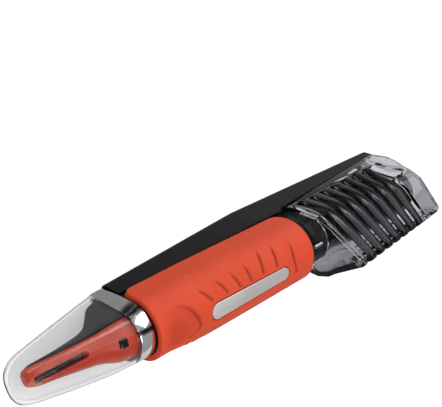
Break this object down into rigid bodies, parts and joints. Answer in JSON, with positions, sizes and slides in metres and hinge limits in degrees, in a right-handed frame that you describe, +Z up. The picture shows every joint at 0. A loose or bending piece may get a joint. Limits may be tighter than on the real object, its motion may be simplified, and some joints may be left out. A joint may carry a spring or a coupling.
{
  "type": "nose hair trimmer",
  "caption": "Two-ended cordless trimmer: detail head under a clear cap, wide side blade under a comb guard, sliding soft grip on a black barrel.",
  "frame": {"origin": "on the resting surface, under the middle of the object's bounding box", "axes": "+X along the barrel from the detail head towards the wide head, +Z up from the flat rear flank of the grip that the object lies on, +Y towards the spine"},
  "size_m": [0.1836, 0.0346, 0.0313],
  "materials": {
    "black_gloss": "polished black ABS",
    "black_satin": "fine-textured black ABS",
    "soft_orange": "soft-touch orange-red elastomer",
    "hard_orange": "glossy orange-red ABS",
    "brushed_silver": "brushed",
    "chrome": "mirror",
    "clear_plastic": "clear polycarbonate",
    "smoke_plastic": "smoke-tinted clear plastic",
    "steel": "ground",
    "brass": "satin",
    "board_green": "solder-masked board",
    "battery_wrap": "plain shrink wrap",
    "lamp_white": "diffuse lamp body"
  },
  "bodies": {
    "barrel": {"spine_cover": "black_gloss", "barrel_front": "black_gloss", "barrel_rear": "black_gloss", "head_front": "black_gloss", "head_rear": "black_gloss", "rear_screw_1": "steel", "rear_screw_2": "steel", "end_plate": "black_satin", "wide_fixed_blade": "steel", "blade_screw_1": "steel", "blade_screw_2": "steel", "wide_motor": "steel", "battery": "battery_wrap", "battery_spring": "steel", "battery_contact": "brass", "circuit_board": "board_green", "detail_motor": "steel", "detail_base": "black_satin", "detail_panel": "hard_orange", "lamp_lens": "clear_plastic", "lamp": "lamp_white", "detail_fixed_blade": "steel"},
    "grip": {"soft_grip": "soft_orange", "inlay_front": "brushed_silver", "inlay_rear": "brushed_silver", "grip_liner": "black_gloss", "guide_pin": "steel"},
    "cap": {"clear_cap": "clear_plastic", "chrome_collar": "chrome"},
    "comb": {"comb_guard": "smoke_plastic"},
    "wide_blade": {"wide_moving_blade": "steel"},
    "wide_drive": {"wide_eccentric": "brass", "wide_motor_shaft": "steel"},
    "detail_blade": {"detail_moving_blade": "steel", "detail_push_rod": "brass"},
    "detail_drive": {"detail_cam": "brass", "detail_motor_shaft": "steel"},
    "power_switch": {"switch_knob": "black_satin"}
  },
  "joints": [
    {"name": "grip_slide", "type": "slide", "parent": "barrel", "child": "grip", "axis": [1, 0, 0], "range_m": [0, 0.062]},
    {"name": "cap_pull", "type": "slide", "parent": "barrel", "child": "cap", "axis": [-1, 0, 0], "range_m": [0, 0.05]},
    {"name": "comb_pull", "type": "slide", "parent": "grip", "child": "comb", "axis": [1, 0, 0], "range_m": [0, 0.07]},
    {"name": "wide_blade_stroke", "type": "slide", "parent": "barrel", "child": "wide_blade", "axis": [1, 0, 0], "range_m": [-0.0005, 0.0005]},
    {"name": "wide_motor_spin", "type": "hinge", "parent": "barrel", "child": "wide_drive", "pos_m": [0.05525, -0.00144, 0.01047], "axis": [0, 0.829, 0.5592], "continuous": true},
    {"name": "detail_blade_stroke", "type": "slide", "parent": "barrel", "child": "detail_blade", "axis": [1, 0, 0], "range_m": [-0.0004, 0.0004]},
    {"name": "detail_motor_spin", "type": "hinge", "parent": "barrel", "child": "detail_drive", "pos_m": [-0.04975, -0.002, 0.0113], "axis": [1, 0, 0], "continuous": true},
    {"name": "switch_slide", "type": "slide", "parent": "barrel", "child": "power_switch", "axis": [1, 0, 0], "range_m": [0, 0.003]}
  ]
}
